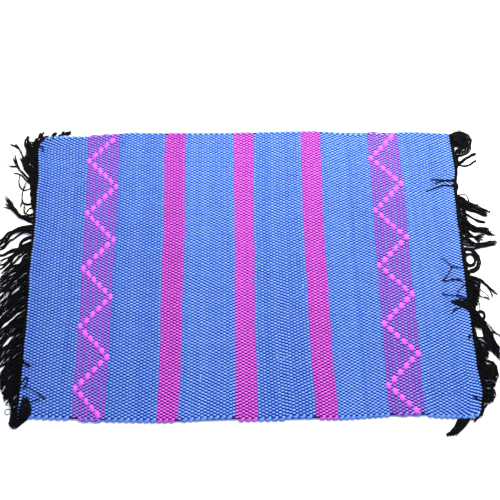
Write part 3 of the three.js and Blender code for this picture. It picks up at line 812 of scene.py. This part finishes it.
rightFringe = [
    {
        "roots": (291, 264), "locks": 7, "yarns": 6, "width": 7, "spread": 2, "lift": 10,
        "first": [(456, 293), (468, 296), (481, 290)],
        "last": [(460, 268), (474, 266), (488, 272)],
    },
    {
        "roots": (256, 220), "locks": 9, "yarns": 6, "width": 6, "spread": 1, "lift": 4,
        "first": [(452, 256), (456, 250), (458, 242)],
        "last": [(452, 224), (456, 221), (458, 216)],
    },
    {
        "roots": (150, 60), "locks": 14, "yarns": 5, "width": 5, "spread": 1, "lift": 5,
        "first": [(455, 146), (461, 140), (464, 130)],
        "last": [(455, 58), (460, 52), (463, 44)],
    },
    {
        "roots": (32, -22), "locks": 9, "yarns": 5, "width": 5, "spread": 0, "lift": 4,
        "first": [(450, 30), (451, 24), (451, 16)],
        "last": [(451, -22), (454, -26), (456, -30)],
    },
    {
        "roots": (-34, -80), "locks": 8, "yarns": 6, "width": 6, "spread": 1, "lift": 6,
        "first": [(453, -38), (458, -48), (460, -60)],
        "last": [(452, -84), (456, -90), (458, -98)],
    },
    {
        "roots": (222,), "yarns": 19, "width": 8, "spread": 3,
        "first": [(459, 225), (468, 230), (476, 237), (486, 242), (495, 248), (502, 249)],
    },
    {"roots": (221,), "yarns": 7, "width": 3, "spread": 2, "first": [(462, 222), (472, 221), (482, 222), (492, 229), (500, 234)]},
    {"roots": (152,), "yarns": 2, "width": 1.4, "first": [(458, 154.5), (466, 153), (472, 144), (475, 136)]},
    {
        "roots": (152, 128), "locks": 5, "yarns": 8, "width": 5, "spread": 2, "fray": 0.1, "lift": 5,
        "first": [(458, 146), (470, 136), (484, 127), (498, 120), (514, 115)],
        "last": [(459, 124), (471, 119), (484, 114), (496, 108), (509, 104)],
    },
    {"roots": (124,), "yarns": 11, "width": 7, "spread": 1, "fray": 0.08, "first": [(460, 112), (472, 103), (484, 96), (495, 92), (503, 91)]},
    {"roots": (140,), "yarns": 3, "width": 1.6, "first": [(462, 136), (472, 130), (482, 126), (488, 129), (494, 134)]},
    {
        "roots": (116, 84), "locks": 6, "yarns": 8, "width": 5, "spread": 2, "fray": 0.1, "lift": 5,
        "first": [(459, 99), (472, 87), (486, 81), (498, 78), (507, 75)],
        "last": [(462, 79), (475, 73), (490, 69), (505, 65), (520, 60)],
    },
    {
        "roots": (86, 60), "locks": 5, "yarns": 4, "width": 2.5, "spread": 1, "fray": 0.1,
        "first": [(460, 74), (470, 62), (479, 50), (483, 40)],
        "last": [(462, 58), (474, 58), (486, 62), (498, 64)],
    },
    {
        "roots": (62, 34), "locks": 5, "yarns": 7, "width": 4, "spread": 2, "fray": 0.1, "lift": 5,
        "first": [(462, 54), (474, 47), (488, 46), (502, 47), (523, 50)],
        "last": [(462, 34), (472, 34), (486, 36), (502, 40), (519, 43)],
    },
    {
        "roots": (-24,), "yarns": 14, "width": 5, "spread": 5,
        "first": [(462, -27), (476, -33), (487, -43), (498, -56), (508, -64)],
    },
    {"roots": (-30,), "yarns": 3, "width": 2, "first": [(470, -33), (486, -45), (494, -60), (496, -75)]},
    {"roots": (-56,), "yarns": 2, "width": 1.4, "first": [(462, -62), (472, -68), (484, -70), (495, -75)]},
    {"roots": (-46,), "yarns": 1, "width": 1, "first": [(464, -50), (475, -55), (485, -64), (491, -73)]},
    {
        "roots": (-26, -84), "locks": 13, "yarns": 8, "width": 6, "spread": 3, "lift": 7,
        "first": [(460, -31), (469, -38), (473, -50)],
        "last": [(455, -85), (461, -85), (466, -78)],
    },
    {
        "roots": (-73, -96), "locks": 6, "yarns": 8, "width": 4, "spread": 0.5, "fray": 0.2, "lift": 2,
        "first": [(442, -74), (431, -75), (421, -76), (409, -77)],
        "last": [(443, -94), (433, -89), (423, -84), (412, -80)],
    },
    {"roots": (-64,), "yarns": 1, "width": 1, "first": [(463, -68), (467.5, -80), (467, -92), (463, -98)]},
    {
        "roots": (-88, -124), "locks": 12, "yarns": 8, "width": 7, "spread": 4, "fray": 0.2, "lift": 7,
        "first": [(462, -103), (475, -121), (483, -137), (489, -154), (502, -184)],
        "last": [(457, -129), (468, -134), (471, -149), (479, -174), (495, -198)],
    },
    {
        "roots": (-146, -166), "locks": 6, "yarns": 8, "width": 6, "spread": 3, "fray": 0.2, "lift": 7,
        "first": [(456, -151), (466, -153), (474, -162), (478, -176)],
        "last": [(455, -172), (462, -180), (467, -186), (473, -189)],
    },
    {"roots": (-112,), "yarns": 2, "width": 1.4, "first": [(471, -116), (481, -126), (490, -137), (506, -151)]},
    {"roots": (-126,), "yarns": 3, "width": 2.5, "first": [(468, -131), (480, -138), (490, -142), (506, -149)]},
    {
        "roots": (-124, -166), "locks": 7, "yarns": 6, "width": 3.5, "spread": 2, "lift": 6,
        "first": [(453, -138), (455, -152), (462, -168), (470, -180)],
        "last": [(457, -174), (463, -182), (468, -188), (474, -188)],
    },
    {
        "roots": (-170, -214), "locks": 11, "yarns": 8, "width": 6, "spread": 3, "lift": 7,
        "first": [(459, -182), (464, -193), (474, -200), (486, -202)],
        "last": [(460, -224), (472, -231), (481, -232), (486, -230)],
    },
    {
        "roots": (-196, -268), "locks": 16, "yarns": 7, "width": 6, "spread": 3, "lift": 8,
        "first": [(461, -203), (474, -205), (485, -207), (488, -220)],
        "last": [(457, -275), (463, -273), (468, -270), (472, -266)],
    },
    {
        "roots": (-232, -284), "locks": 8, "yarns": 6, "width": 5, "spread": 2, "lift": 6,
        "first": [(462, -240), (474, -250), (482, -264)],
        "last": [(449, -288), (453, -284), (459, -280)],
    },
    {
        "roots": (-274, -279), "locks": 2, "yarns": 4, "width": 2, "spread": 1, "fray": 0.1,
        "first": [(450, -286), (446, -296), (437, -304), (426, -309)],
        "last": [(448, -290), (444, -298), (436, -306), (429, -313)],
    },
    {
        "start": (412, -294), "yarns": 16, "width": 12, "spread": 4, "fray": 0.2, "lift": 3, "under": True,
        "first": [(405, -308), (395, -320), (383, -330), (373, -336)],
    },
    {
        "start": (418, -294), "yarns": 14, "width": 8, "spread": 3, "fray": 0.15, "lift": 3, "under": True,
        "first": [(411, -308), (400, -320), (388, -330), (379, -336)],
    },
    {
        "start": (424, -294), "yarns": 13, "width": 8, "spread": 3, "fray": 0.2, "lift": 3, "under": True,
        "first": [(416, -309), (404, -321), (394, -330), (386, -337)],
    },
    {
        "roots": (186,), "yarns": 5, "width": 2.8, "sway": 0.3, "lift": 0.5,
        "first": [(440, 186), (422, 186), (406, 186.5), (390, 187)],
    },
    {
        "roots": (183,), "yarns": 4, "width": 2.4, "sway": 0.3, "lift": 0.5,
        "first": [(436, 183), (421, 183), (410, 181), (400, 178)],
    },
    {
        "roots": (172,), "yarns": 5, "width": 2.8, "sway": 0.3, "lift": 0.5,
        "first": [(436, 172.5), (421, 174), (402, 168), (390, 163), (380, 161)],
    },
    {
        "roots": (-9,), "yarns": 2, "width": 0.8, "sway": 0.5,
        "first": [(432, -7), (420, -5), (412, 2), (405, 9), (394, 12)],
    },
    {
        "start": (419, -5), "yarns": 3, "width": 1.5, "sway": 0.5,
        "first": [(411, -18), (404, -28), (396, -33), (404, -35), (420, -32), (434, -34), (441, -40)],
    },
    {
        "roots": (-73,), "yarns": 2, "width": 0.8, "sway": 0.5,
        "first": [(438, -70), (422, -66), (404, -64), (391, -61)],
    },
    {"start": (424, -59), "yarns": 3, "width": 1.5, "sway": 0.3, "first": [(430, -53), (437, -46), (443, -42)]},
    {"roots": (-86,), "yarns": 3, "width": 1.5, "sway": 0.5, "first": [(438, -88), (420, -92), (411, -99), (409, -106)]},
    {
        "roots": (-272,), "yarns": 6, "width": 3, "spread": 1, "fray": 0.4,
        "first": [(442, -270), (434, -264), (425, -261)],
    },
    {"roots": (-146,), "yarns": 2, "width": 1, "first": [(441, -146), (436, -150), (437, -155)]},
]  # fmt: skip

# Yarns that turn round beside the right heading, angles in degrees from +X.
rightCurls = [
    {"centre": (469, 279), "size": (25, 25), "sweep": (185, -85), "yarns": 34, "rings": (0.4, 1.0), "height": 9},
    {"centre": (466, 280), "size": (20, 22), "sweep": (230, -110), "yarns": 14, "rings": (0.2, 0.8), "height": 8},
    {"centre": (472, 278), "size": (16, 16), "sweep": (20, 330), "yarns": 18, "rings": (0.1, 1.0), "height": 9},
    {"centre": (454, 264), "size": (37, 22), "sweep": (-88, 22), "yarns": 24, "rings": (0.3, 1.0), "height": 5},
    {"centre": (455, 9), "size": (25, 27), "sweep": (100, -95), "yarns": 22, "rings": (0.78, 1.02), "height": 4},
    {"centre": (459, 10), "size": (12, 14), "sweep": (190, -175), "yarns": 20, "rings": (0.68, 1.12), "height": 3},
    {"centre": (468, -106), "size": (9, 10), "sweep": (150, -190), "yarns": 8, "rings": (0.5, 1.0), "height": 3},
]  # fmt: skip


# The height that a loose yarn lies on: the floor, or the cloth once it is over an edge.
def restHeight(x, y):
    inside = np.minimum(np.minimum(x - leftX(y), rightX(y) - x), np.minimum(y - nearY(x), farY(x) - y))
    share = np.clip(inside / fringe["edgeRamp"] + 0.6, 0, 1)
    return fringe["clothTop"] * share * share * (3 - 2 * share)


def addLoose(bundle, line, layer, tone, sway=1.0, under=False):
    rings = len(line)
    share = np.linspace(0, 1, rings)
    ahead = np.gradient(line, axis=0)
    ahead /= np.linalg.norm(ahead, axis=1, keepdims=True)
    phase = chance.uniform(0, 2 * np.pi, 3)
    aside = fringe["wave"] * np.sin(np.arange(rings) * 1.3 + phase[0])
    aside += fringe["wander"] * share * np.sin(share * chance.uniform(3, 8) + phase[1])
    aside *= sway
    x = line[:, 0] + ahead[:, 1] * aside
    y = line[:, 1] - ahead[:, 0] * aside
    radius = fringe["yarnRadius"] * chance.uniform(0.85, 1.15)
    rise = layer * np.abs(np.sin(share * 2.2 + phase[2])) * (1 - 0.6 * share)
    z = restHeight(x, y) * (not under) + radius + np.maximum(rise, 0)
    size = radius * np.where(share > 0.93, 0.6, 1.0)
    bundle.add(np.stack([x, y, z], axis=1), size, size, tone)


# One lock: yarns side by side that cross each other, spread at the tip and end at unlike lengths.
def addLock(bundle, places, row):
    places = np.array(places, float)
    length = np.linalg.norm(np.diff(places, axis=0), axis=1).sum()
    rings = int(np.clip(length / fringe["ringStep"], 6, 32))
    for _ in range(row["yarns"]):
        line = smoothLine(places, rings, 1 - chance.uniform(0, row.get("fray", 0.12)))
        share = np.linspace(0, 1, rings)
        ahead = np.gradient(line, axis=0)
        ahead /= np.linalg.norm(ahead, axis=1, keepdims=True)
        offset = chance.uniform(-1, 1)
        crossing = np.cos(share * chance.uniform(1.5, 5) + chance.uniform(-0.6, 0.6))
        aside = offset * (row["width"] / 2 * crossing + row.get("spread", 0) * share**2)
        line = line + np.stack([ahead[:, 1], -ahead[:, 0]], axis=1) * aside[:, None]
        layer = chance.uniform(0, row.get("lift", 3))
        tone = chance.uniform(*fringe["tone"])
        addLoose(bundle, line, layer, tone, row.get("sway", 1.0), row.get("under", False))


def addGroup(bundle, row, edgeX, inwards):
    count = row.get("locks", 1)
    first = np.array(row["first"], float)
    last = np.array(row.get("last", row["first"]), float)
    for i in range(count):
        share = (i + chance.uniform(-0.3, 0.3) * (0 < i < count - 1)) / max(count - 1, 1)
        places = first + (last - first) * share
        if count > 2:
            places[1:] += chance.normal(0, row.get("stray", 1.5), places[1:].shape)
        if "start" in row:
            root = row["start"]
        else:
            y = row["roots"][0] + (row["roots"][-1] - row["roots"][0]) * share
            root = (edgeX(y) - inwards * fringe["rootInset"], y)
        addLock(bundle, np.vstack([root, places]), row)


def addCurl(bundle, row):
    for _ in range(row["yarns"]):
        size = chance.uniform(*row["rings"])
        sweep = np.radians(np.array(row["sweep"]) + chance.normal(0, 8, 2))
        rings = int(np.clip(size * row["size"][0] * 1.4, 10, 30))
        angle = np.linspace(*sweep, rings)
        x = row["centre"][0] + row["size"][0] * size * np.cos(angle) + chance.normal(0, 0.6)
        y = row["centre"][1] + row["size"][1] * size * np.sin(angle) + chance.normal(0, 0.6)
        layer = row["height"] * np.sqrt(1 - 0.9 * size**2) * chance.uniform(0.6, 1)
        addLoose(bundle, np.stack([x, y], axis=1), layer, chance.uniform(*fringe["tone"]))


# A heading: cords of two black plies twined round each other beside the cloth's end.
def addHeading(bundle, heading, edgeX, inwards):
    y = np.arange(*heading["ends"], 1.8)
    for cord in heading["cords"]:
        start = chance.uniform(0, 2 * np.pi)
        for ply in (0, np.pi):
            angle = start + ply + y / heading["pitch"] * 2 * np.pi
            lump = np.zeros(len(y))
            for place, half, size in heading["lumps"]:
                lump += size * np.exp(-(((y - place) / half) ** 2))
            turn = heading["turnRadius"] + 0.4 * lump
            size = heading["plyRadius"] * (1 + 0.12 * np.sin(y / 13 + start)) + 0.5 * lump
            x = edgeX(y) - inwards * (cord + lump) + turn * np.cos(angle)
            z = heading["rise"] + size + turn + turn * np.sin(angle)
            bundle.add(np.stack([x, y, z], axis=1), size, size, 0.4 + 0.2 * (ply > 0))


def buildFringe(name, groups, curls, heading, edgeX, inwards, node):
    bundle = Yarns(4, 0.3)
    addHeading(bundle, heading, edgeX, inwards)
    for row in curls:
        addCurl(bundle, row)
    for row in groups:
        addGroup(bundle, row, edgeX, inwards)
    piece = bundle.build(name, blackWarp)
    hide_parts(node)


blackWarp = cottonRag("blackCottonWarp", "#020203", "#0e0e13", 0.5, 3.0, gloss=0.12)  # hard-spun dyed cotton
buildFringe("fringeLeft", leftFringe, [], headings["left"], leftX, 1, "fringe_left")
buildFringe("fringeRight", rightFringe, rightCurls, headings["right"], rightX, -1, "fringe_right")
print("fringes done")

# Short bits of pale thread that cling to the cloth.
strayThreads = {
    "radius": 0.4,
    "lines": [
        [(206, 64), (211, 68), (213, 73)],
        [(106, -50), (110, -46), (112, -41)],
        [(54, -183), (60, -195), (66, -190), (79, -182)],
        [(-99, -229), (-96, -225), (-95, -219)],
        [(-388, -190), (-385, -186), (-380, -185)],
    ],
}
paleLint = cottonRag("paleCottonLint", "#8fa6ee", "#d3dcff", 0.4, 3.0)  # undyed ends of the rag strips
lint = Yarns(5, 0.3)
for places in strayThreads["lines"]:
    line = smoothLine(places, 12)
    high = np.full((12, 1), fringe["clothTop"] + strayThreads["radius"] + 0.3)
    lint.add(np.hstack([line, high]), strayThreads["radius"], strayThreads["radius"], 0.6)
lint.build("strayThreads", paleLint)

print("in all", sum(triangleCounts), "triangles")
